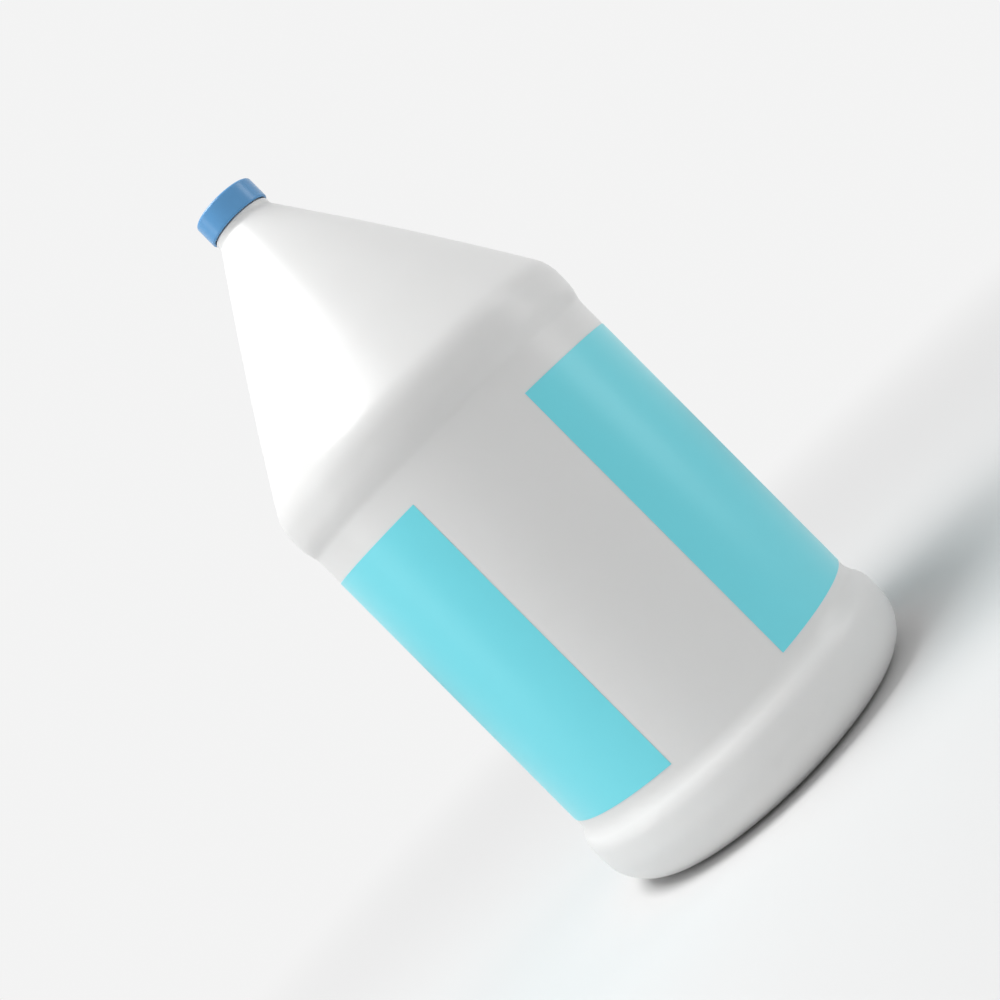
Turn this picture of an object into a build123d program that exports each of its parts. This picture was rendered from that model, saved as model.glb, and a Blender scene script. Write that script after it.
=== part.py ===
"""Bleach bottle: a round one-gallon jug with a screw cap, its liner and two wrap labels.

The jug is one blow-moulded piece. It stands on +Z with its base ring at z = 0, and its axis is the Z axis.
The bare strip between the labels faces -Y. All sizes are in millimetres.
"""

import math
import os

from build123d import *

# ---- jug body, blow-moulded polyethylene ----
wall = 0.9  # wall of the body
panel_radius = 74.1  # label panel
panel_length = 151.2  # from the groove slope up to the shoulder slope
heel_step = 3.8  # how far the heel stands out from the panel
heel_round = 19.5  # round from the standing ring up to the heel
heel_top = 28.6  # height at which the heel turns in to the panel
groove_rise = 5.5  # height of the slope between the heel and the panel
groove_round = 10.4  # both rounds of that slope
band_step = 1.8  # how far the shoulder band stands out from the panel
band_rise = 5.5  # height of the slope between the panel and the band
band_hollow_round = 9.5  # inner round of that slope
band_crown_round = 25.0  # outer round of that slope
band_length = 13.6  # from the slope up to the edge of the cone
shoulder_round = 20.3  # round between the band and the cone
cone_height = 97.2  # from the edge of the cone up to the neck
cone_swell = 1.6  # how far the middle of the cone stands out from a straight line
neck_root_round = 3.0  # hollow round between the cone and the collar

# ---- base, pushed up inside a standing ring ----
ring_width = 5.4  # from the heel's round in to the ring's inner edge
ring_round = 3.0
push_up = 8.0
push_up_slope = 10.0  # width of the slope between the ring and the flat middle
push_up_round = 6.0
pinch_off_height = 0.6  # ridge left across the middle where the mould's halves met
pinch_off_width = 1.2
pinch_off_margin = 12.0  # from the ridge's end out to the edge of the flat middle

# ---- neck finish, 28 mm continuous thread ----
finish_radius = 12.45  # root of the neck thread
neck_wall = 1.8
collar_step = 1.45  # how far the collar stands out from the thread's root
collar_height = 3.0  # from the cone's end up to the collar's top
collar_round = 0.4
rim_land = 1.5  # from the head of the neck thread up to the rim
rim_round = 0.4
thread_pitch = 4.2333  # six turns to the inch
thread_depth = 1.05
thread_root_width = 2.3
thread_crest_width = 0.9
thread_sink = 0.25  # how far a thread is let into the wall that carries it
neck_thread_turns = 1.0
neck_thread_lift = 0.4  # from the collar up to the foot of the neck thread

# ---- cap, injection-moulded, and its liner ----
cap_wall = 0.95
cap_roof = 1.2
cap_gap = 0.3  # between the collar and the skirt's foot
cap_top_round = 1.1
cap_mouth_chamfer = 0.15
cap_foot_land = 0.1  # flat left between the skirt's outer round and its mouth
cap_thread_turns = 1.0
cap_thread_lift = 0.5  # from the skirt's foot up to the foot of its thread
thread_clearance = 0.25  # between one thread's crest and the other's root
thread_play = 0.3  # along the axis, between the two threads' flanks
liner_thickness = 1.0
liner_clearance = 0.3  # around the liner, inside the skirt

# ---- labels, film on the panel ----
label_film = 0.15
label_height = 132.2
label_lift = 5.8  # from the top of the groove slope up to the label's lower edge
bare_strip = 45.2  # degrees of bare panel between the two labels, front and back

# ---- sizes that follow from the ones above ----
heel_radius = panel_radius + heel_step
band_radius = panel_radius + band_step
ring_inner_radius = heel_radius - heel_round - ring_width
push_up_radius = ring_inner_radius - push_up_slope
pinch_off_length = 2 * (push_up_radius - pinch_off_margin)
collar_radius = finish_radius + collar_step
bore_radius = finish_radius - neck_wall
skirt_inner_radius = finish_radius + thread_depth + thread_clearance
cap_radius = skirt_inner_radius + cap_wall
cap_foot_round = cap_wall - cap_mouth_chamfer - cap_foot_land
liner_radius = skirt_inner_radius - liner_clearance

panel_foot = heel_top + groove_rise
panel_head = panel_foot + panel_length
band_foot = panel_head + band_rise
cone_foot = band_foot + band_length
neck_foot = cone_foot + cone_height
collar_top = neck_foot + collar_height
neck_thread_foot = collar_top + neck_thread_lift + thread_root_width / 2
rim = neck_thread_foot + thread_pitch * neck_thread_turns + thread_root_width / 2 + rim_land
cap_foot = collar_top + cap_gap
liner_top = rim + liner_thickness
cap_head = liner_top + cap_roof
label_foot = panel_foot + label_lift
label_span = 180 - bare_strip

# The cap's thread runs below the neck's by the width of their flanks where they face, and the play.
flank_width = thread_root_width - (thread_root_width - thread_crest_width) * thread_clearance / thread_depth
thread_drop = (flank_width + thread_crest_width) / 2 + thread_play
cap_thread_foot = cap_foot + cap_thread_lift + thread_root_width / 2
cap_thread_angle = 360 * (cap_thread_foot + thread_drop - neck_thread_foot) / thread_pitch

os.makedirs("parts", exist_ok=True)


def radial_plane(angle, radius=0, height=0):
    """Plane through the axis at an angle from +X, its own X pointing outwards and its own Y up."""
    cosine, sine = math.cos(math.radians(angle)), math.sin(math.radians(angle))
    return Plane(origin=(radius * cosine, radius * sine, height), x_dir=(cosine, sine, 0), z_dir=(sine, -cosine, 0))


def sweep_thread(wall_radius, foot, angle, turns, outwards):
    """Sweep a thread up the wall of the part in hand, standing outwards (1) from the wall or inwards (-1)."""
    half_root, half_crest = thread_root_width / 2, thread_crest_width / 2
    half_sunk = half_root + thread_sink * (half_root - half_crest) / thread_depth
    sunk, crest = -outwards * thread_sink, outwards * thread_depth
    with BuildLine(Plane.XY.offset(foot)) as helix:
        Helix(pitch=thread_pitch, height=thread_pitch * turns, radius=wall_radius)
    with BuildSketch(radial_plane(angle, wall_radius, foot)) as section:
        with BuildLine():
            Polyline((sunk, -half_sunk), (crest, -half_crest), (crest, half_crest), (sunk, half_sunk), close=True)
        make_face()
    sweep(sections=section.sketch, path=helix.line.rotate(Axis.Z, angle), is_frenet=True)


def unit(start, end):
    """Direction from one (radius, height) point to another, at length 1."""
    length = math.dist(start, end)
    return (end[0] - start[0]) / length, (end[1] - start[1]) / length


def inset_outline(corners, rounds, depth):
    """Move an outline inward by depth: its corners along their mitres, its rounds about their own centres.

    The outline runs anticlockwise from the axis. Its last point only gives the direction of its last run.
    """
    moved_corners = [(corners[0][0], corners[0][1] + depth)]
    moved_rounds = []
    for before, here, after, round_radius in zip(corners, corners[1:], corners[2:], rounds):
        (in_r, in_z), (out_r, out_z) = unit(before, here), unit(here, after)
        reach = depth / (1 + in_r * out_r + in_z * out_z)
        moved_corners.append((here[0] - reach * (in_z + out_z), here[1] + reach * (in_r + out_r)))
        turns_left = in_r * out_z - in_z * out_r > 0
        moved_rounds.append(round_radius - depth if turns_left else round_radius + depth)
    return moved_corners, moved_rounds


# ---- outline of the jug, from the middle of its base up to the collar ----
# The cone is two runs that meet halfway, joined by one long curve that takes most of both.
cone_edge = Vector(band_radius, cone_foot)
cone_end = Vector(collar_radius, neck_foot)
cone_half = (cone_end - cone_edge) / 2
cone_corner = cone_edge + cone_half + Vector(cone_half.Y, -cone_half.X).normalized() * cone_swell
cone_curve = 0.8 * cone_half.length**2 / cone_swell

body_corners = [
    (0, push_up),
    (push_up_radius, push_up),
    (ring_inner_radius, 0),
    (heel_radius, 0),
    (heel_radius, heel_top),
    (panel_radius, panel_foot),
    (panel_radius, panel_head),
    (band_radius, band_foot),
    (band_radius, cone_foot),
    (cone_corner.X, cone_corner.Y),
    (collar_radius, neck_foot),
    (collar_radius, collar_top),
]
body_rounds = [
    push_up_round,
    ring_round,
    heel_round,
    groove_round,
    groove_round,
    band_hollow_round,
    band_crown_round,
    shoulder_round,
    cone_curve,
    neck_root_round,
]

# ---- outline of the cavity: the wall's depth inside the jug, its cone running on up to the bore ----
cavity_corners, cavity_rounds = inset_outline(body_corners, body_rounds, wall)
cone_in, cone_out = Vector(*cavity_corners[-2]), Vector(*cavity_corners[-1])
bore_share = (cone_in.X - bore_radius) / (cone_in.X - cone_out.X)
bore_foot = cone_in + (cone_out - cone_in) * bore_share
cavity_corners[-1] = (bore_radius, bore_foot.Y)

# ---- jug ----
with BuildPart() as bottle:
    with BuildSketch(Plane.XZ):
        with BuildLine():
            outside = FilletPolyline(*body_corners, radius=body_rounds)
            step = FilletPolyline(
                outside @ 1,
                (finish_radius, collar_top),
                (finish_radius, rim),
                (0, rim),
                radius=[collar_round, rim_round],
            )
            Line(step @ 1, outside @ 0)
        make_face()
    revolve(axis=Axis.Z)
    sweep_thread(finish_radius, neck_thread_foot, 0, neck_thread_turns, outwards=1)
    with BuildSketch(Plane.XY.offset(push_up - pinch_off_height)):
        SlotOverall(pinch_off_length, pinch_off_width, rotation=90)
    extrude(amount=pinch_off_height + wall / 2)
    with BuildSketch(Plane.XZ):
        with BuildLine():
            inside = FilletPolyline(*cavity_corners, (bore_radius, rim), radius=cavity_rounds)
            Polyline(inside @ 1, (0, rim), inside @ 0)
        make_face()
    revolve(axis=Axis.Z, mode=Mode.SUBTRACT)
bottle.part.label = "bottle"
export_step(bottle.part, "parts/bottle.step")

# ---- cap ----
with BuildPart() as cap:
    with BuildSketch(Plane.XZ):
        with BuildLine():
            FilletPolyline(
                (0, cap_head),
                (cap_radius, cap_head),
                (cap_radius, cap_foot),
                (skirt_inner_radius + cap_mouth_chamfer, cap_foot),
                radius=[cap_top_round, cap_foot_round],
            )
            Polyline(
                (skirt_inner_radius + cap_mouth_chamfer, cap_foot),
                (skirt_inner_radius, cap_foot + cap_mouth_chamfer),
                (skirt_inner_radius, liner_top),
                (0, liner_top),
                (0, cap_head),
            )
        make_face()
    revolve(axis=Axis.Z)
    sweep_thread(skirt_inner_radius, cap_thread_foot, cap_thread_angle, cap_thread_turns, outwards=-1)
cap.part.label = "cap"
export_step(cap.part, "parts/cap.step")

# ---- liner: a foam disc between the cap's roof and the rim ----
with BuildPart() as cap_liner:
    with BuildSketch(Plane.XY.offset(rim)):
        Circle(liner_radius)
    extrude(amount=liner_thickness)
cap_liner.part.label = "cap_liner"
export_step(cap_liner.part, "parts/cap_liner.step")

# ---- labels: two strips of film around the panel, either side of the bare strips ----
for side, middle in (("left", 180), ("right", 0)):
    with BuildPart() as label:
        with BuildSketch(radial_plane(middle - label_span / 2)):
            with Locations((panel_radius, label_foot)):
                Rectangle(label_film, label_height, align=Align.MIN)
        revolve(axis=Axis.Z, revolution_arc=label_span)
    label.part.label = f"{side}_label"
    export_step(label.part, f"parts/{side}_label.step")
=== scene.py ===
# Looks of a one-gallon bleach jug: its moulded body, screw cap, liner and two film labels. Every piece is
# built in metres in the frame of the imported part, whose Z axis is the jug's own axis.

import logging
import math
from dataclasses import dataclass, field
from enum import Enum
from typing import Optional, Sequence, Union

import bpy
from mathutils import Matrix, Vector


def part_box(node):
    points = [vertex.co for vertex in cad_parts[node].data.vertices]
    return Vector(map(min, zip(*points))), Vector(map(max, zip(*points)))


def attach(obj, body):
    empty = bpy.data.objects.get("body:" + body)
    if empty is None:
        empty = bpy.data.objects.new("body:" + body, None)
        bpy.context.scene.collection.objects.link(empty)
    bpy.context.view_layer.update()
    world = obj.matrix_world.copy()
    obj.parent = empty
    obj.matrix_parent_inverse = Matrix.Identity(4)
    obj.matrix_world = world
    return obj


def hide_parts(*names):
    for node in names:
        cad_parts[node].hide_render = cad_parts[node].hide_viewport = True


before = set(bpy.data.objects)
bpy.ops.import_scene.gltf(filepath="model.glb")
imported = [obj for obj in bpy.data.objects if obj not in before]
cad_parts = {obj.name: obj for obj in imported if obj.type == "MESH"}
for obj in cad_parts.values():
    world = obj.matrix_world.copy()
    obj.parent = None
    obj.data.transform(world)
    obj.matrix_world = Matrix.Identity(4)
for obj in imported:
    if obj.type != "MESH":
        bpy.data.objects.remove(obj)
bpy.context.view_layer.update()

log = logging.getLogger("bleach_jug")
Point = tuple[float, float]
Colour = tuple[float, float, float]
MM = 0.001


# ---------------------------------------------------------------- shader maths


@dataclass(frozen=True)
class Term:
    """A socket that Python arithmetic extends with Math nodes."""

    graph: "Graph"
    socket: Optional[bpy.types.NodeSocket]

    def _with(self, operation: str, other: Union["Term", float]) -> "Term":
        """Add one Math node that works on this term and another."""
        return self.graph.node("ShaderNodeMath", {"operation": operation}, [self, other])

    def __add__(self, other: Union["Term", float]) -> "Term":
        """Sum of the two."""
        return self._with("ADD", other)

    def __mul__(self, other: Union["Term", float]) -> "Term":
        """Product of the two."""
        return self._with("MULTIPLY", other)

    __radd__ = __add__
    __rmul__ = __mul__


class Graph:
    """The node tree of a material or a world, with a single way to add a node."""

    MIX_FIRST, MIX_SECOND, MIX_RESULT = 6, 7, 2

    def __init__(self, owner: Union[bpy.types.Material, bpy.types.World]) -> None:
        """Start the owner's node tree afresh.

        Args:
            owner: The material or world that the tree belongs to.
        """
        self.owner = owner
        owner.use_nodes = True
        self.tree = owner.node_tree
        self.tree.nodes.clear()

    def node(
        self,
        kind: str,
        settings: Optional[dict[str, object]] = None,
        inputs: Union[Sequence[object], dict[Union[int, str], object], None] = None,
        output: Union[int, str] = 0,
    ) -> Term:
        """Add a node, set it up and link or fill its sockets.

        Args:
            kind: The node's type.
            settings: The node's own properties, set before its sockets.
            inputs: Values or terms, by place or by socket name.
            output: The output to hand on.

        Returns:
            The chosen output as a term.
        """
        made = self.tree.nodes.new(kind)
        for key, value in (settings or {}).items():
            setattr(made, key, value)
        pairs = inputs.items() if isinstance(inputs, dict) else enumerate(inputs or [])
        for key, value in pairs:
            if isinstance(value, Term):
                self.tree.links.new(value.socket, made.inputs[key])
            elif value is not None:
                made.inputs[key].default_value = value
        return Term(self, made.outputs[output] if len(made.outputs) else None)

    def place(self) -> Term:
        """Object coordinates, in metres from the part's origin."""
        return self.node("ShaderNodeTexCoord", output="Object")

    def noise(self, scale: float, detail: float = 2.0, stretch: Point = (1.0, 1.0)) -> Term:
        """Smooth noise from 0 to 1 over the object.

        Args:
            scale: Features per metre.
            detail: Number of finer octaves.
            stretch: Scale around the axis and along it.

        Returns:
            The noise value.
        """
        across, along = stretch
        mapping = {"Vector": self.place(), "Scale": (across, across, along)}
        placed = self.node("ShaderNodeMapping", None, mapping)
        return self.node("ShaderNodeTexNoise", None, {"Vector": placed, "Scale": scale, "Detail": detail})

    def mix(self, share: Union[Term, float], first: Colour, second: Colour) -> Term:
        """Blend two plain colours.

        Args:
            share: 0 for the first colour, 1 for the second.
            first: First colour.
            second: Second colour.

        Returns:
            The blended colour.
        """
        inputs = {0: share, self.MIX_FIRST: (*first, 1.0), self.MIX_SECOND: (*second, 1.0)}
        return self.node("ShaderNodeMix", {"data_type": "RGBA"}, inputs, self.MIX_RESULT)

    def bump(self, height: Term, depth: float, strength: float = 1.0, under: Optional[Term] = None) -> Term:
        """Turn a height into a normal.

        Args:
            height: Height from 0 to 1.
            depth: Metres that a height of 1 stands for.
            strength: Share of the effect.
            under: A normal to lay the relief on.

        Returns:
            The normal.
        """
        inputs = {"Height": height, "Distance": depth, "Strength": strength, "Normal": under}
        return self.node("ShaderNodeBump", None, inputs)

    def ray(self, kind: str) -> Term:
        """1 for rays of a kind, such as "Is Camera Ray", and 0 for the rest."""
        return self.node("ShaderNodeLightPath", output=kind)

    def finish(self, shader: Term) -> Union[bpy.types.Material, bpy.types.World]:
        """Join a shader to the tree's output and hand back the owner."""
        is_world = isinstance(self.owner, bpy.types.World)
        kind = "ShaderNodeOutputWorld" if is_world else "ShaderNodeOutputMaterial"
        self.node(kind, None, {"Surface": shader})
        return self.owner


# ---------------------------------------------------------------- finishes


@dataclass(frozen=True)
class MouldedJug:
    """Blow-moulded white polyethylene: soft gloss, a little light inside, faint waves and grain."""

    clean: Colour = (0.80, 0.80, 0.795)
    warm: Colour = (0.775, 0.775, 0.765)
    cloud_scale: float = 9.0
    roughness: float = 0.27
    roughness_spread: float = 0.08
    ior: float = 1.5
    specular: float = 0.42
    glow: float = 0.18
    glow_tint: Colour = (1.0, 0.95, 0.9)
    glow_depth: float = 2.5 * MM
    wave_scale: float = 14.0
    wave_stretch: Point = (1.0, 0.45)
    wave_depth: float = 0.10 * MM
    grain_scale: float = 2600.0
    grain_depth: float = 0.012 * MM

    def material(self) -> bpy.types.Material:
        """Build the jug's material."""
        graph = Graph(bpy.data.materials.new("jug_polyethylene"))
        cloud = graph.noise(self.cloud_scale, 3.0)
        waves = graph.bump(graph.noise(self.wave_scale, 1.0, self.wave_stretch), self.wave_depth)
        shader = graph.node(
            "ShaderNodeBsdfPrincipled",
            {"subsurface_method": "RANDOM_WALK"},
            {
                "Base Color": graph.mix(cloud, self.clean, self.warm),
                "Roughness": self.roughness + cloud * self.roughness_spread,
                "IOR": self.ior,
                "Specular IOR Level": self.specular,
                "Subsurface Weight": self.glow,
                "Subsurface Radius": self.glow_tint,
                "Subsurface Scale": self.glow_depth,
                "Normal": graph.bump(graph.noise(self.grain_scale), self.grain_depth, under=waves),
            },
        )
        return graph.finish(shader)


@dataclass(frozen=True)
class MouldedCap:
    """Injection-moulded blue polypropylene: glossy, with a fine grain."""

    blue: Colour = (0.105, 0.335, 0.64)
    deep: Colour = (0.095, 0.31, 0.60)
    cloud_scale: float = 120.0
    roughness: float = 0.2
    roughness_spread: float = 0.08
    ior: float = 1.49
    glow: float = 0.08
    glow_tint: Colour = (0.6, 0.8, 1.0)
    glow_depth: float = 1.0 * MM
    grain_scale: float = 5200.0
    grain_depth: float = 0.015 * MM
    grain_strength: float = 0.5

    def material(self) -> bpy.types.Material:
        """Build the cap's material."""
        graph = Graph(bpy.data.materials.new("cap_polypropylene"))
        cloud = graph.noise(self.cloud_scale)
        shader = graph.node(
            "ShaderNodeBsdfPrincipled",
            None,
            {
                "Base Color": graph.mix(cloud, self.blue, self.deep),
                "Roughness": self.roughness + cloud * self.roughness_spread,
                "IOR": self.ior,
                "Subsurface Weight": self.glow,
                "Subsurface Radius": self.glow_tint,
                "Subsurface Scale": self.glow_depth,
                "Normal": graph.bump(graph.noise(self.grain_scale), self.grain_depth, self.grain_strength),
            },
        )
        return graph.finish(shader)


@dataclass(frozen=True)
class LinerFoam:
    """Closed-cell foam: matt off-white with fine cells, each cell's hollow darkened with painted shade."""

    light: Colour = (0.80, 0.80, 0.78)
    # shade is painted shade for the cells' hollows; light is the foam's own colour at the cell rims.
    shade: Colour = (0.66, 0.66, 0.64)
    roughness: float = 0.75
    cell_scale: float = 2400.0
    cell_depth: float = 0.06 * MM

    def material(self) -> bpy.types.Material:
        """Build the liner's material."""
        graph = Graph(bpy.data.materials.new("liner_foam"))
        placed = {"Vector": graph.place(), "Scale": self.cell_scale}
        cells = graph.node("ShaderNodeTexVoronoi", {"feature": "SMOOTH_F1"}, placed)
        shader = graph.node(
            "ShaderNodeBsdfPrincipled",
            None,
            {
                # Painted shade: the cells that raise the bump also pick the colour, so each low cell hollow
                # is painted darker.
                "Base Color": graph.mix(cells, self.shade, self.light),
                "Roughness": self.roughness,
                "Normal": graph.bump(cells, self.cell_depth),
            },
        )
        return graph.finish(shader)


@dataclass(frozen=True)
class LabelFilm:
    """Printed film laid on the panel: satin cyan ink under a thin varnish."""

    cyan: Colour = (0.175, 0.735, 0.84)
    pale: Colour = (0.185, 0.75, 0.85)
    cloud_scale: float = 25.0
    roughness: float = 0.27
    roughness_spread: float = 0.08
    ior: float = 1.5
    specular: float = 0.42
    ink_scale: float = 3000.0
    ink_stretch: Point = (1.0, 0.4)
    ink_depth: float = 0.008 * MM

    def material(self) -> bpy.types.Material:
        """Build the labels' material."""
        graph = Graph(bpy.data.materials.new("label_film"))
        ink = graph.noise(self.ink_scale, 2.0, self.ink_stretch)
        shader = graph.node(
            "ShaderNodeBsdfPrincipled",
            None,
            {
                "Base Color": graph.mix(graph.noise(self.cloud_scale, 3.0), self.cyan, self.pale),
                "Roughness": self.roughness + ink * self.roughness_spread,
                "IOR": self.ior,
                "Specular IOR Level": self.specular,
                "Normal": graph.bump(ink, self.ink_depth),
            },
        )
        return graph.finish(shader)


@dataclass(frozen=True)
class StudioFloor:
    """Pale paper that fades into the backdrop's colour away from the jug."""

    backdrop: float
    paper: Colour = (0.72, 0.72, 0.72)
    fade_from: float = 0.2
    fade_to: float = 0.85

    def material(self) -> bpy.types.Material:
        """Build the floor's material."""
        graph = Graph(bpy.data.materials.new("studio_floor"))
        reach = graph.node("ShaderNodeVectorMath", {"operation": "LENGTH"}, [graph.place()], "Value")
        fade = graph.node(
            "ShaderNodeMapRange",
            {"interpolation_type": "SMOOTHSTEP"},
            {"Value": reach, "From Min": self.fade_from, "From Max": self.fade_to},
        )
        paper = graph.node("ShaderNodeBsdfDiffuse", None, {"Color": (*self.paper, 1.0)})
        shown = (self.backdrop, self.backdrop, self.backdrop, 1.0)
        glow = graph.node("ShaderNodeEmission", None, {"Color": shown, "Strength": 1.0})
        share = fade * graph.ray("Is Camera Ray")
        return graph.finish(graph.node("ShaderNodeMixShader", None, [share, paper, glow]))


# ---------------------------------------------------------------- modelling by operators


class Side(Enum):
    """Which way a thread stands from its wall."""

    OUTWARDS = 1
    INWARDS = -1


def rounded(corners: Sequence[Point], rounds: Sequence[float], step: float = math.radians(5)) -> list[Point]:
    """Run along an outline and replace each inner corner with a tangent arc.

    Args:
        corners: Corners as (radius, height), from the first end to the last.
        rounds: Radius at each corner but the two ends. 0 keeps the corner.
        step: Largest turn between two points of an arc.

    Returns:
        The points of the outline.
    """
    fewest = 4
    points = [corners[0]]
    for before, here, after, radius in zip(corners, corners[1:], corners[2:], rounds):
        start, middle, end = Vector(before), Vector(here), Vector(after)
        coming, going = (middle - start).normalized(), (end - middle).normalized()
        turn = math.atan2(coming.x * going.y - coming.y * going.x, coming.dot(going))
        if radius <= 0:
            points.append(here)
            continue
        first = middle - coming * radius * math.tan(abs(turn) / 2)
        centre = first + Vector((-coming.y, coming.x)) * math.copysign(radius, turn)
        count = max(fewest, math.ceil(abs(turn) / step))
        for index in range(count + 1):
            spoke = Matrix.Rotation(turn * index / count, 2) @ (first - centre)
            points.append(tuple(centre + spoke))
    points.append(corners[-1])
    return points


def spaced(points: Sequence[Point], longest: float) -> list[Point]:
    """Divide each run of an outline that is longer than a length into equal parts.

    Args:
        points: The outline.
        longest: Longest run to leave whole.

    Returns:
        The outline with points added on its long runs.
    """
    result = [points[0]]
    for start, end in zip(points, points[1:]):
        count = max(1, math.ceil(math.dist(start, end) / longest))
        for index in range(1, count + 1):
            share = index / count
            result.append((start[0] + (end[0] - start[0]) * share, start[1] + (end[1] - start[1]) * share))
    return result


def choose(piece: bpy.types.Object, *others: bpy.types.Object) -> None:
    """Select these pieces alone and make the first the active one."""
    bpy.ops.object.select_all(action="DESELECT")
    for chosen in (piece, *others):
        chosen.select_set(True)
    bpy.context.view_layer.objects.active = piece


def edit(piece: bpy.types.Object) -> None:
    """Go into a piece's edit mode with all of its mesh selected."""
    choose(piece)
    bpy.ops.object.mode_set(mode="EDIT")
    bpy.ops.mesh.select_all(action="SELECT")


def leave_edit() -> None:
    """Go back to object mode."""
    bpy.ops.object.mode_set(mode="OBJECT")


def smooth(piece: bpy.types.Object, angle: float = math.radians(35)) -> None:
    """Shade a piece smooth, apart from its edges sharper than an angle."""
    choose(piece)
    bpy.ops.object.shade_smooth_by_angle(angle=angle)


def draw(name: str, points: Sequence[Vector]) -> bpy.types.Object:
    """Draw a chain of edges: a small plane merged to its centre, then extruded from point to point.

    Args:
        name: The piece's name.
        points: Where the chain goes, from its first vertex to its last.

    Returns:
        The new object, at the origin and in object mode.
    """
    bpy.ops.object.select_all(action="DESELECT")
    bpy.ops.mesh.primitive_plane_add(size=MM, location=(0, 0, 0))
    piece = bpy.context.object
    piece.name = name
    edit(piece)
    bpy.ops.mesh.merge(type="CENTER")
    bpy.ops.transform.translate(value=points[0])
    for here, after in zip(points, points[1:]):
        bpy.ops.mesh.extrude_vertices_move(TRANSFORM_OT_translate={"value": after - here})
    leave_edit()
    return piece


def spin(piece: bpy.types.Object, steps: int, angle: float) -> None:
    """Spin a piece's mesh around the Z axis, merge its doubles and face it outwards.

    Args:
        piece: The piece.
        steps: Number of faces along the way.
        angle: How far, clockwise from above.
    """
    edit(piece)
    bpy.ops.mesh.spin(steps=steps, angle=angle, center=(0, 0, 0), axis=(0, 0, 1))
    bpy.ops.mesh.select_all(action="SELECT")
    bpy.ops.mesh.remove_doubles(threshold=0.0005 * MM)
    bpy.ops.mesh.normals_make_consistent(inside=False)
    leave_edit()


def close_ends(piece: bpy.types.Object) -> None:
    """Fill a piece's open ends and face it outwards."""
    edit(piece)
    bpy.ops.mesh.select_mode(type="EDGE")
    bpy.ops.mesh.select_all(action="DESELECT")
    bpy.ops.mesh.select_non_manifold(extend=False, use_multi_face=False, use_non_contiguous=False)
    bpy.ops.mesh.fill_holes(sides=0)
    bpy.ops.mesh.select_mode(type="VERT")
    bpy.ops.mesh.select_all(action="SELECT")
    bpy.ops.mesh.normals_make_consistent(inside=False)
    leave_edit()


def turned(name: str, outline: Sequence[Point], steps: int) -> bpy.types.Object:
    """Spin an outline all the way around the Z axis into a closed piece.

    Args:
        name: The piece's name.
        outline: (radius, height) points, with both ends on the axis.
        steps: Number of faces around.

    Returns:
        The new object.
    """
    piece = draw(name, [Vector((radius, 0.0, height)) for radius, height in outline])
    spin(piece, steps, math.tau)
    smooth(piece)
    return piece


def join(piece: bpy.types.Object, *others: bpy.types.Object) -> bpy.types.Object:
    """Join shells to a piece and hand it back."""
    choose(piece, *others)
    bpy.ops.object.join()
    return piece


def apply(piece: bpy.types.Object, kind: str, **settings: object) -> None:
    """Add a modifier to a piece and apply it.

    Args:
        piece: The piece.
        kind: The modifier's type.
        settings: The modifier's properties.
    """
    choose(piece)
    modifier = piece.modifiers.new(kind.lower(), kind)
    for key, value in settings.items():
        setattr(modifier, key, value)
    bpy.ops.object.modifier_apply(modifier=modifier.name)


def apply_place(piece: bpy.types.Object) -> None:
    """Put a piece's place, turn and scale into its mesh."""
    choose(piece)
    bpy.ops.object.transform_apply(location=True, rotation=True, scale=True)


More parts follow.
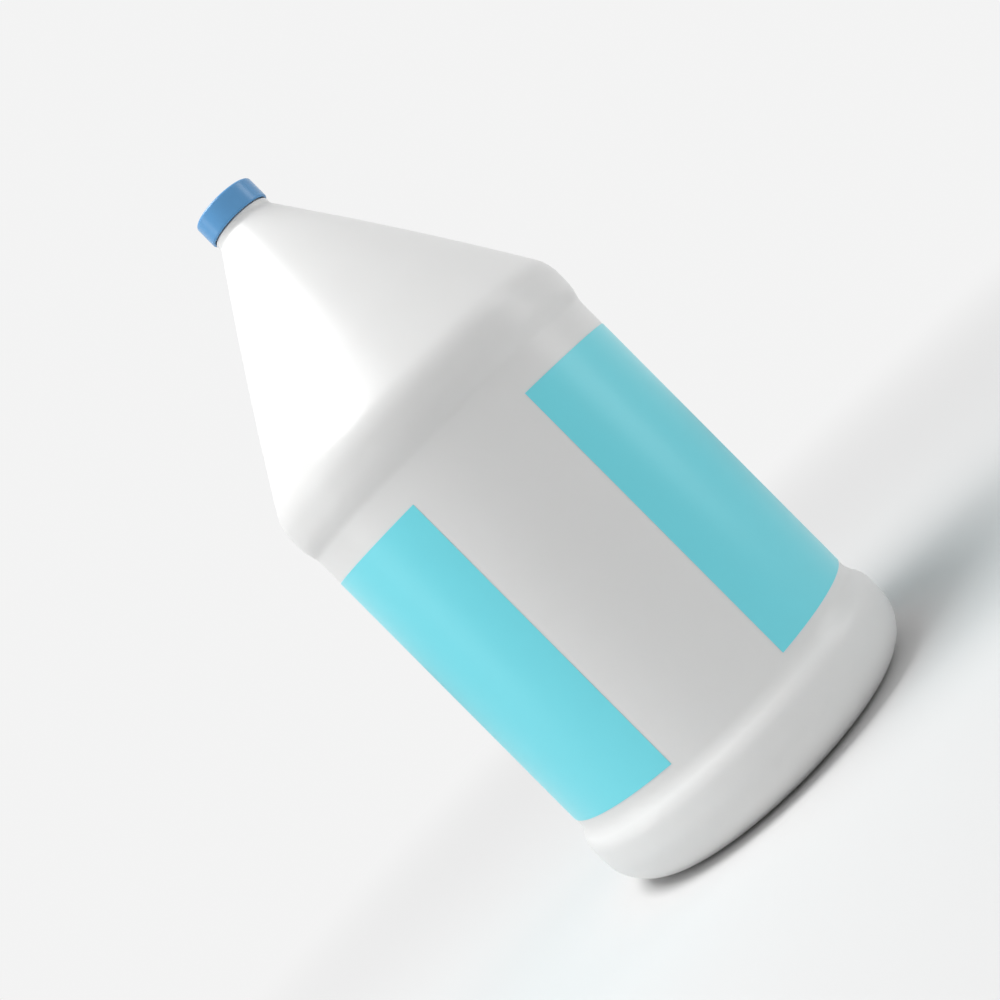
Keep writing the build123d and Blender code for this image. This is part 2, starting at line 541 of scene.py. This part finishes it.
@dataclass
class Thread:
    """A helical thread on a wall, its ends fading into the wall."""

    wall_radius: float
    foot: float
    start_angle: float
    side: Side
    turns: float = 1.0
    pitch: float = 4.2333 * MM
    depth: float = 1.05 * MM
    root_width: float = 2.3 * MM
    crest_width: float = 0.9 * MM
    crest_round: float = 0.35 * MM
    crest_arc_step: float = math.radians(20)
    sink: float = 0.25 * MM
    fade_turn: float = math.radians(24)
    least_height: float = 0.02
    steps_a_turn: int = 144

    def section(self) -> list[Vector]:
        """Corners of the thread's section, in the plane through the axis, from its foot up."""
        half_root, half_crest = self.root_width / 2, self.crest_width / 2
        corners = [
            (-self.sink, -half_root),
            (0.0, -half_root),
            (self.depth, -half_crest),
            (self.depth, half_crest),
            (0.0, half_root),
            (-self.sink, half_root),
        ]
        softened = rounded(corners, [0.0, self.crest_round, self.crest_round, 0.0], self.crest_arc_step)
        outwards = self.side.value
        return [Vector((self.wall_radius + outwards * reach, 0.0, self.foot + up)) for reach, up in softened]

    def height_at(self, turn: float) -> float:
        """Share of its full height that the thread has after a turn from its start."""
        from_end = min(turn, math.tau * self.turns - turn)
        full = min(1.0, from_end / self.fade_turn)
        return max(self.least_height, full * full * (3 - 2 * full))

    def build(self, name: str) -> bpy.types.Object:
        """Draw the section, screw it up its helix and fade its ends.

        Args:
            name: Name for the thread's shell.

        Returns:
            The closed shell.
        """
        points = self.section()
        thread = draw(name, [*points, points[0]])
        edit(thread)
        bpy.ops.mesh.remove_doubles(threshold=0.0005 * MM)
        leave_edit()
        steps = round(self.steps_a_turn * self.turns)
        sweep = {"axis": "Z", "angle": math.tau * self.turns, "screw_offset": self.pitch * self.turns}
        apply(thread, "SCREW", steps=steps, render_steps=steps, **sweep)
        close_ends(thread)
        self._fade(thread, len(points), steps)
        thread.rotation_euler.z = self.start_angle
        apply_place(thread)
        smooth(thread)
        return thread

    def _fade(self, thread: bpy.types.Object, ring_size: int, steps: int) -> None:
        """Draw the crest in to the wall's radius towards both ends.

        Args:
            thread: The screwed shell, whose vertices follow one another ring by ring.
            ring_size: Vertices in a ring.
            steps: Rings but one.
        """
        fading = thread.vertex_groups.new(name="fading")
        for vert in thread.data.vertices:
            turn = math.tau * self.turns * (vert.index // ring_size) / steps
            if self.side.value * (math.hypot(vert.co.x, vert.co.y) - self.wall_radius) > 0:
                fading.add([vert.index], 1 - self.height_at(turn), "REPLACE")
        wall = {"cast_type": "CYLINDER", "use_radius_as_size": False, "size": self.wall_radius}
        apply(thread, "CAST", factor=1.0, vertex_group=fading.name, **wall)
        thread.vertex_groups.clear()


# ---------------------------------------------------------------- pieces


@dataclass
class Jug:
    """The blow-moulded body: base, heel, label panel, shoulder band, cone, collar and threaded neck."""

    panel_radius: float = 74.1 * MM
    heel_step: float = 3.8 * MM
    heel_round: float = 19.5 * MM
    heel_top: float = 28.6 * MM
    groove_rise: float = 5.5 * MM
    groove_round: float = 10.4 * MM
    panel_length: float = 151.2 * MM
    band_step: float = 1.8 * MM
    band_rise: float = 5.5 * MM
    band_hollow_round: float = 9.5 * MM
    band_crown_round: float = 25.0 * MM
    band_length: float = 13.6 * MM
    shoulder_round: float = 20.3 * MM
    cone_height: float = 97.2 * MM
    cone_swell: float = 1.6 * MM
    cone_curve_share: float = 0.8
    neck_root_round: float = 3.0 * MM
    wall: float = 0.9 * MM
    ring_width: float = 5.4 * MM
    ring_round: float = 3.0 * MM
    push_up: float = 8.0 * MM
    push_up_slope: float = 10.0 * MM
    push_up_round: float = 6.0 * MM
    pinch_off_height: float = 0.6 * MM
    pinch_off_width: float = 1.2 * MM
    pinch_off_margin: float = 12.0 * MM
    pinch_off_round: float = 0.2 * MM
    finish_radius: float = 12.45 * MM
    neck_wall: float = 1.8 * MM
    collar_step: float = 1.45 * MM
    collar_height: float = 3.0 * MM
    collar_round: float = 0.5 * MM
    finish_root_round: float = 0.3 * MM
    rim_round: float = 0.55 * MM
    rim_inner_round: float = 0.385 * MM
    thread_lift: float = 1.55 * MM
    longest_run: float = 6.0 * MM
    steps: int = 176
    finish: MouldedJug = field(default_factory=MouldedJug)

    @property
    def heel_radius(self) -> float:
        """Radius of the heel, the jug's widest part."""
        return self.panel_radius + self.heel_step

    @property
    def ring_inner_radius(self) -> float:
        """Radius of the standing ring's inner edge."""
        return self.heel_radius - self.heel_round - self.ring_width

    @property
    def push_up_radius(self) -> float:
        """Radius of the push-up's flat middle."""
        return self.ring_inner_radius - self.push_up_slope

    @property
    def collar_radius(self) -> float:
        """Radius of the collar under the cap."""
        return self.finish_radius + self.collar_step

    @property
    def bore_radius(self) -> float:
        """Radius of the neck's bore."""
        return self.finish_radius - self.neck_wall

    @property
    def collar_top(self) -> float:
        """Height of the collar's upper face."""
        lengths = (self.heel_top, self.groove_rise, self.panel_length, self.band_rise, self.band_length)
        return sum(lengths) + self.cone_height + self.collar_height

    @property
    def rim(self) -> float:
        """Height of the neck's rim."""
        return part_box("bottle")[1].z

    def outer_corners(self) -> tuple[list[Point], list[float]]:
        """Corners and rounds of the outside, from the middle of the base up to the collar's top."""
        panel_foot = self.heel_top + self.groove_rise
        panel_head = panel_foot + self.panel_length
        band_foot = panel_head + self.band_rise
        cone_foot = band_foot + self.band_length
        band = self.panel_radius + self.band_step
        edge, end = Vector((band, cone_foot)), Vector((self.collar_radius, cone_foot + self.cone_height))
        half = (end - edge) / 2
        middle = edge + half + Vector((half.y, -half.x)).normalized() * self.cone_swell
        corners = [
            (0.0, self.push_up),
            (self.push_up_radius, self.push_up),
            (self.ring_inner_radius, 0.0),
            (self.heel_radius, 0.0),
            (self.heel_radius, self.heel_top),
            (self.panel_radius, panel_foot),
            (self.panel_radius, panel_head),
            (band, band_foot),
            tuple(edge),
            tuple(middle),
            tuple(end),
            (self.collar_radius, self.collar_top),
        ]
        rounds = [
            self.push_up_round,
            self.ring_round,
            self.heel_round,
            self.groove_round,
            self.groove_round,
            self.band_hollow_round,
            self.band_crown_round,
            self.shoulder_round,
            self.cone_curve_share * half.length_squared / self.cone_swell,
            self.neck_root_round,
        ]
        return corners, rounds

    def inner_corners(self) -> tuple[list[Point], list[float]]:
        """The outside's corners and rounds moved in by the wall, the cone running on up to the bore."""
        corners, rounds = self.outer_corners()
        moved = [(0.0, self.push_up + self.wall)]
        moved_rounds = []
        for before, here, after, radius in zip(corners, corners[1:], corners[2:], rounds):
            coming = (Vector(here) - Vector(before)).normalized()
            going = (Vector(after) - Vector(here)).normalized()
            reach = self.wall / (1 + coming.dot(going))
            moved.append((here[0] - reach * (coming.y + going.y), here[1] + reach * (coming.x + going.x)))
            turns_left = coming.x * going.y - coming.y * going.x > 0
            moved_rounds.append(radius - self.wall if turns_left else radius + self.wall)
        low, high = Vector(moved[-2]), Vector(moved[-1])
        moved[-1] = tuple(low + (high - low) * ((low.x - self.bore_radius) / (low.x - high.x)))
        return moved, moved_rounds

    def outline(self) -> list[Point]:
        """The whole closed section: up the outside, over the rim and down the inside."""
        outside = rounded(*self.outer_corners())
        rim_foot = (self.bore_radius, self.rim - 2 * self.rim_round)
        neck_corners = [
            (self.collar_radius, self.collar_top - 2 * self.collar_round),
            (self.collar_radius, self.collar_top),
            (self.finish_radius, self.collar_top),
            (self.finish_radius, self.rim),
            (self.bore_radius, self.rim),
            rim_foot,
        ]
        neck_rounds = [self.collar_round, self.finish_root_round, self.rim_round, self.rim_inner_round]
        inner, inner_rounds = self.inner_corners()
        inside = rounded([*inner, rim_foot], inner_rounds)
        whole = [*outside[:-1], *rounded(neck_corners, neck_rounds), *reversed(inside[:-1])]
        return spaced(whole, self.longest_run)

    def neck_thread(self) -> Thread:
        """The thread around the neck."""
        return Thread(self.finish_radius, self.collar_top + self.thread_lift, 0.0, Side.OUTWARDS)

    def pinch_off(self) -> bpy.types.Object:
        """Model the ridge that the mould leaves across the push-up, let halfway into the wall.

        Returns:
            The ridge's closed shell.
        """
        foot, head = self.push_up - self.pinch_off_height, self.push_up + self.wall / 2
        size = (self.pinch_off_width, 2 * (self.push_up_radius - self.pinch_off_margin), head - foot)
        bpy.ops.object.select_all(action="DESELECT")
        bpy.ops.mesh.primitive_cube_add(size=1.0, location=(0, 0, (foot + head) / 2), scale=size)
        ridge = bpy.context.object
        ridge.name = "pinch_off_ridge"
        apply_place(ridge)
        apply(ridge, "BEVEL", width=self.pinch_off_round, segments=3)
        smooth(ridge)
        return ridge

    def build(self) -> bpy.types.Object:
        """Spin the body and add its pinch-off ridge and its neck thread.

        Returns:
            The finished jug.
        """
        body = turned("jug_body", self.outline(), self.steps)
        jug = join(body, self.pinch_off(), self.neck_thread().build("neck_thread"))
        jug.data.materials.append(self.finish.material())
        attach(jug, "jug")
        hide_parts("bottle")
        return jug


@dataclass
class Cap:
    """The screw cap: a flat roof, a smooth skirt with rounded edges, and an inner thread."""

    wall: float = 0.95 * MM
    roof: float = 1.2 * MM
    top_round: float = 1.1 * MM
    foot_round: float = 0.7 * MM
    mouth_round: float = 0.15 * MM
    ceiling_round: float = 0.25 * MM
    arc_step: float = math.radians(7)
    thread_lift: float = 1.65 * MM
    thread_drop: float = 1.7333 * MM
    longest_run: float = 2.5 * MM
    steps: int = 144
    finish: MouldedCap = field(default_factory=MouldedCap)

    def outline(self) -> list[Point]:
        """The cap's section, from the middle of its top round to the middle of its ceiling."""
        low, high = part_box("cap")
        inner, ceiling = high.x - self.wall, high.z - self.roof
        corners = [
            (0.0, high.z),
            (high.x, high.z),
            (high.x, low.z),
            (inner, low.z),
            (inner, ceiling),
            (0.0, ceiling),
        ]
        rounds = [self.top_round, self.foot_round, self.mouth_round, self.ceiling_round]
        return spaced(rounded(corners, rounds, self.arc_step), self.longest_run)

    def build(self, neck: Thread) -> bpy.types.Object:
        """Spin the cap and add its thread in mesh with the neck's.

        Args:
            neck: The thread that this one turns on.

        Returns:
            The finished cap.
        """
        low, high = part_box("cap")
        shell = turned("screw_cap", self.outline(), self.steps)
        foot = low.z + self.thread_lift
        angle = math.tau * (foot + self.thread_drop - neck.foot) / neck.pitch
        thread = Thread(high.x - self.wall, foot, angle, Side.INWARDS).build("cap_thread")
        cap = join(shell, thread)
        cap.data.materials.append(self.finish.material())
        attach(cap, "cap")
        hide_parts("cap")
        return cap


@dataclass
class Liner:
    """The foam disc in the cap's roof, with soft edges."""

    edge_round: float = 0.2 * MM
    arc_step: float = math.radians(15)
    longest_run: float = 2.0 * MM
    steps: int = 96
    finish: LinerFoam = field(default_factory=LinerFoam)

    def build(self) -> bpy.types.Object:
        """Spin the disc.

        Returns:
            The finished liner.
        """
        low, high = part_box("cap_liner")
        corners = [(0.0, low.z), (high.x, low.z), (high.x, high.z), (0.0, high.z)]
        softened = rounded(corners, [self.edge_round, self.edge_round], self.arc_step)
        liner = turned("liner_disc", spaced(softened, self.longest_run), self.steps)
        liner.data.materials.append(self.finish.material())
        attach(liner, "liner")
        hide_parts("cap_liner")
        return liner


@dataclass
class Label:
    """One strip of film around the panel, standing its own thickness proud."""

    node: str
    middle: float
    bare_strip: float = math.radians(45.2)
    film: float = 0.15 * MM
    step: float = math.radians(1)

    def build(self, finish: bpy.types.Material) -> bpy.types.Object:
        """Stand the film's section at one end of the label and spin it around the panel.

        Args:
            finish: The label's material.

        Returns:
            The finished label.
        """
        low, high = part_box(self.node)
        span = math.pi - self.bare_strip
        start = self.middle - span / 2
        radius = max(abs(low.x), abs(high.x)) - self.film / 2
        place = (radius * math.cos(start), radius * math.sin(start), (low.z + high.z) / 2)
        bpy.ops.object.select_all(action="DESELECT")
        bpy.ops.mesh.primitive_plane_add(size=1.0, location=place, rotation=(math.pi / 2, 0, start))
        label = bpy.context.object
        label.name = f"{self.node}_film"
        label.scale = (self.film, high.z - low.z, 1.0)
        apply_place(label)
        spin(label, round(span / self.step), -span)
        close_ends(label)
        smooth(label)
        label.data.materials.append(finish)
        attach(label, "jug")
        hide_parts(self.node)
        return label


# ---------------------------------------------------------------- studio


@dataclass(frozen=True)
class Softbox:
    """A rectangular lamp that faces the jug."""

    name: str
    place: tuple[float, float, float]
    size: tuple[float, float]
    watts: float
    aim: tuple[float, float, float] = (0.0, 0.0, 0.15)

    def build(self) -> None:
        """Hang the lamp and turn it to its aim."""
        data = bpy.data.lights.new(self.name, "AREA")
        data.shape = "RECTANGLE"
        data.size, data.size_y = self.size
        data.energy = self.watts
        lamp = bpy.data.objects.new(self.name, data)
        bpy.context.scene.collection.objects.link(lamp)
        lamp.location = self.place
        lamp.rotation_euler = (Vector(self.aim) - Vector(self.place)).to_track_quat("-Z", "Y").to_euler()


@dataclass
class Studio:
    """Pale floor, soft lamps, and a camera rolled so that the jug leans over its heel."""

    backdrop: float = 0.90
    fill: float = 0.46
    floor_radius: float = 4.0
    floor_corners: int = 128
    lens: float = 56.87
    sensor_width: float = 36.0
    roll: float = math.radians(44.87)
    camera_place: tuple[float, float, float] = (-0.00509, -0.63906, 0.15113)
    lamps: tuple[Softbox, ...] = (
        Softbox("key_softbox", (-0.45, -0.15, 1.35), (0.75, 0.75), 16.0),
        Softbox("left_softbox", (-1.1, -0.05, 0.25), (0.35, 1.2), 1.6),
        Softbox("right_softbox", (1.1, -0.1, 0.3), (0.35, 1.2), 2.8),
    )

    def build_floor(self) -> None:
        """Lay a wide disc of paper at the height of the jug's foot."""
        bpy.ops.object.select_all(action="DESELECT")
        bpy.ops.mesh.primitive_circle_add(
            vertices=self.floor_corners, radius=self.floor_radius, fill_type="NGON"
        )
        floor = bpy.context.object
        floor.name = "paper_floor"
        floor.data.materials.append(StudioFloor(self.backdrop).material())

    def build_world(self) -> None:
        """Show the backdrop's colour to the camera and to reflections, and light with a softer fill."""
        graph = Graph(bpy.data.worlds.new("studio"))
        rays = [graph.ray("Is Camera Ray"), graph.ray("Is Glossy Ray")]
        seen = graph.node("ShaderNodeMath", {"operation": "MAXIMUM"}, rays)
        strength = self.fill + seen * (self.backdrop - self.fill)
        white = (1.0, 1.0, 1.0, 1.0)
        background = graph.node("ShaderNodeBackground", None, {"Color": white, "Strength": strength})
        bpy.context.scene.world = graph.finish(background)

    def build_camera(self) -> None:
        """Put the camera level with the panel, rolled about its line of sight."""
        data = bpy.data.cameras.new("camera")
        data.sensor_width = self.sensor_width
        data.lens = self.lens
        camera = bpy.data.objects.new("camera", data)
        bpy.context.scene.collection.objects.link(camera)
        camera.location = self.camera_place
        level = Matrix.Rotation(math.pi / 2, 4, "X")
        camera.rotation_euler = (Matrix.Rotation(self.roll, 4, "Y") @ level).to_euler()
        bpy.context.scene.camera = camera

    def build(self) -> None:
        """Set up the whole studio."""
        self.build_floor()
        self.build_world()
        for lamp in self.lamps:
            lamp.build()
        self.build_camera()
        bpy.context.scene.view_settings.view_transform = "Standard"


def report(piece: bpy.types.Object) -> None:
    """Log a piece's name and its number of triangles."""
    triangles = sum(len(face.vertices) - 2 for face in piece.data.polygons)
    log.info("%s: %d triangles", piece.name, triangles)


def main() -> None:
    """Build the jug, its cap, liner and labels, then the studio."""
    logging.basicConfig(level=logging.INFO)
    jug = Jug()
    report(jug.build())
    report(Cap().build(jug.neck_thread()))
    report(Liner().build())
    film = LabelFilm().material()
    for node, middle in (("left_label", math.pi), ("right_label", 0.0)):
        report(Label(node, middle).build(film))
    Studio().build()


if __name__ == "__main__":
    main()
